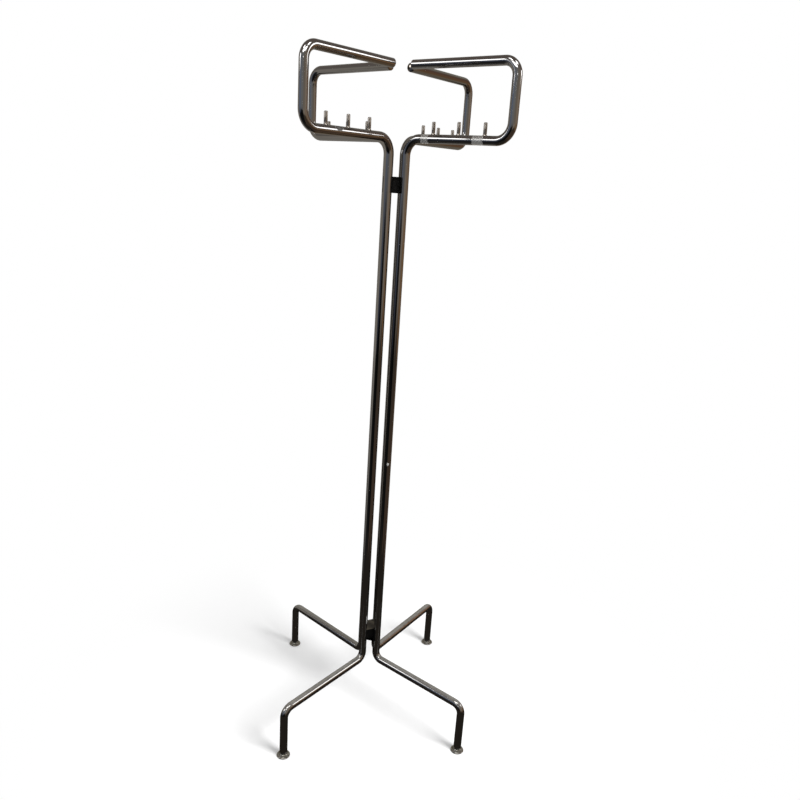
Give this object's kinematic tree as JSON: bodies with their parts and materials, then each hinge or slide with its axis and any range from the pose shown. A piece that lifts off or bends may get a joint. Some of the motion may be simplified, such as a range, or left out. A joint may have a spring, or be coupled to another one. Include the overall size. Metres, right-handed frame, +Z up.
{
  "type": "standing coat rack",
  "caption": "Free-standing coat rack of bent chrome tubes held together by black spacers, with looped arms, upright pegs and screw-adjusted feet.",
  "frame": {"origin": "on the floor, under the middle of the footprint of the feet", "axes": "+Z up, front towards -Y, +X to the right seen from the front"},
  "size_m": [0.4834, 0.4972, 1.672],
  "materials": {
    "chrome": "polished chrome plate, lightly smudged",
    "chrome_foot": "chrome plate, dulled by wear near the floor",
    "black_plastic": "matt moulded plastic",
    "nylon": "matt moulded nylon",
    "zinc_steel": "zinc plated steel",
    "pad": "matt rubber"
  },
  "bodies": {
    "rack": {"front_left_tube": "chrome", "front_left_cap": "chrome", "front_left_peg_1": "chrome", "front_left_peg_2": "chrome", "front_left_peg_3": "chrome", "front_left_insert": "nylon", "front_right_tube": "chrome", "front_right_cap": "chrome", "front_right_peg_1": "chrome", "front_right_peg_2": "chrome", "front_right_peg_3": "chrome", "front_right_insert": "nylon", "rear_left_tube": "chrome", "rear_left_cap": "chrome", "rear_left_peg_1": "chrome", "rear_left_peg_2": "chrome", "rear_left_peg_3": "chrome", "rear_left_insert": "nylon", "rear_right_tube": "chrome", "rear_right_cap": "chrome", "rear_right_peg_1": "chrome", "rear_right_peg_2": "chrome", "rear_right_peg_3": "chrome", "rear_right_insert": "nylon", "lower_spacer": "black_plastic", "upper_spacer": "black_plastic"},
    "front_left_foot": {"front_left_base": "chrome_foot", "front_left_pad": "pad"},
    "front_left_screw": {"front_left_stud": "zinc_steel"},
    "front_right_foot": {"front_right_base": "chrome_foot", "front_right_pad": "pad"},
    "front_right_screw": {"front_right_stud": "zinc_steel"},
    "rear_left_foot": {"rear_left_base": "chrome_foot", "rear_left_pad": "pad"},
    "rear_left_screw": {"rear_left_stud": "zinc_steel"},
    "rear_right_foot": {"rear_right_base": "chrome_foot", "rear_right_pad": "pad"},
    "rear_right_screw": {"rear_right_stud": "zinc_steel"}
  },
  "joints": [
    {"name": "front_left_foot_travel", "type": "slide", "parent": "rack", "child": "front_left_foot", "axis": [0, 0, -1], "range_m": [0, 0.01]},
    {"name": "front_left_screw_turn", "type": "hinge", "parent": "front_left_foot", "child": "front_left_screw", "pos_m": [-0.22492, -0.23186, 0.00785], "axis": [0, 0, -1], "range_deg": [0, 2880]},
    {"name": "front_right_foot_travel", "type": "slide", "parent": "rack", "child": "front_right_foot", "axis": [0, 0, -1], "range_m": [0, 0.01]},
    {"name": "front_right_screw_turn", "type": "hinge", "parent": "front_right_foot", "child": "front_right_screw", "pos_m": [0.22492, -0.23186, 0.00785], "axis": [0, 0, -1], "range_deg": [0, 2880]},
    {"name": "rear_left_foot_travel", "type": "slide", "parent": "rack", "child": "rear_left_foot", "axis": [0, 0, -1], "range_m": [0, 0.01]},
    {"name": "rear_left_screw_turn", "type": "hinge", "parent": "rear_left_foot", "child": "rear_left_screw", "pos_m": [-0.21004, 0.23186, 0.00785], "axis": [0, 0, -1], "range_deg": [0, 2880]},
    {"name": "rear_right_foot_travel", "type": "slide", "parent": "rack", "child": "rear_right_foot", "axis": [0, 0, -1], "range_m": [0, 0.01]},
    {"name": "rear_right_screw_turn", "type": "hinge", "parent": "rear_right_foot", "child": "rear_right_screw", "pos_m": [0.21004, 0.23186, 0.00785], "axis": [0, 0, -1], "range_deg": [0, 2880]}
  ],
  "couplings": [
    {"joint": "front_left_screw_turn", "follows": "front_left_foot_travel", "rad_per_m": 5026.5},
    {"joint": "front_right_screw_turn", "follows": "front_right_foot_travel", "rad_per_m": 5026.5},
    {"joint": "rear_left_screw_turn", "follows": "rear_left_foot_travel", "rad_per_m": 5026.5},
    {"joint": "rear_right_screw_turn", "follows": "rear_right_foot_travel", "rad_per_m": 5026.5}
  ]
}
